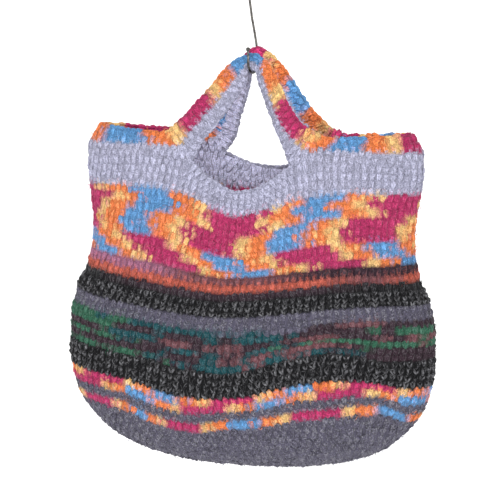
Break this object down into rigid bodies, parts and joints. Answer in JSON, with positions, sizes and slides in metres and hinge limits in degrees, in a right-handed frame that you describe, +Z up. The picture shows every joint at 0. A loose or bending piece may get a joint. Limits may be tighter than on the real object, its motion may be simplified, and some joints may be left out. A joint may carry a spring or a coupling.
{
  "type": "crocheted wool handbag with wire hook",
  "caption": "Soft rounded crocheted wool handbag in coloured bands, hanging by its two integral handles from a bent wire hook with an eye.",
  "frame": {"origin": "centre of the wire hook's eye, the point from which everything hangs", "axes": "+Z up along the hanging height, -Y out of the bag's front, +X to the right as seen from the front"},
  "size_m": [0.3766, 0.1192, 0.4901],
  "materials": {
    "felted_wool": "matt, fuzzy, crocheted bulky wool in coloured bands",
    "steel_wire": "plain drawn wire, slightly dulled"
  },
  "bodies": {
    "root": {"bag": "felted_wool", "hook": "steel_wire"}
  },
  "joints": []
}
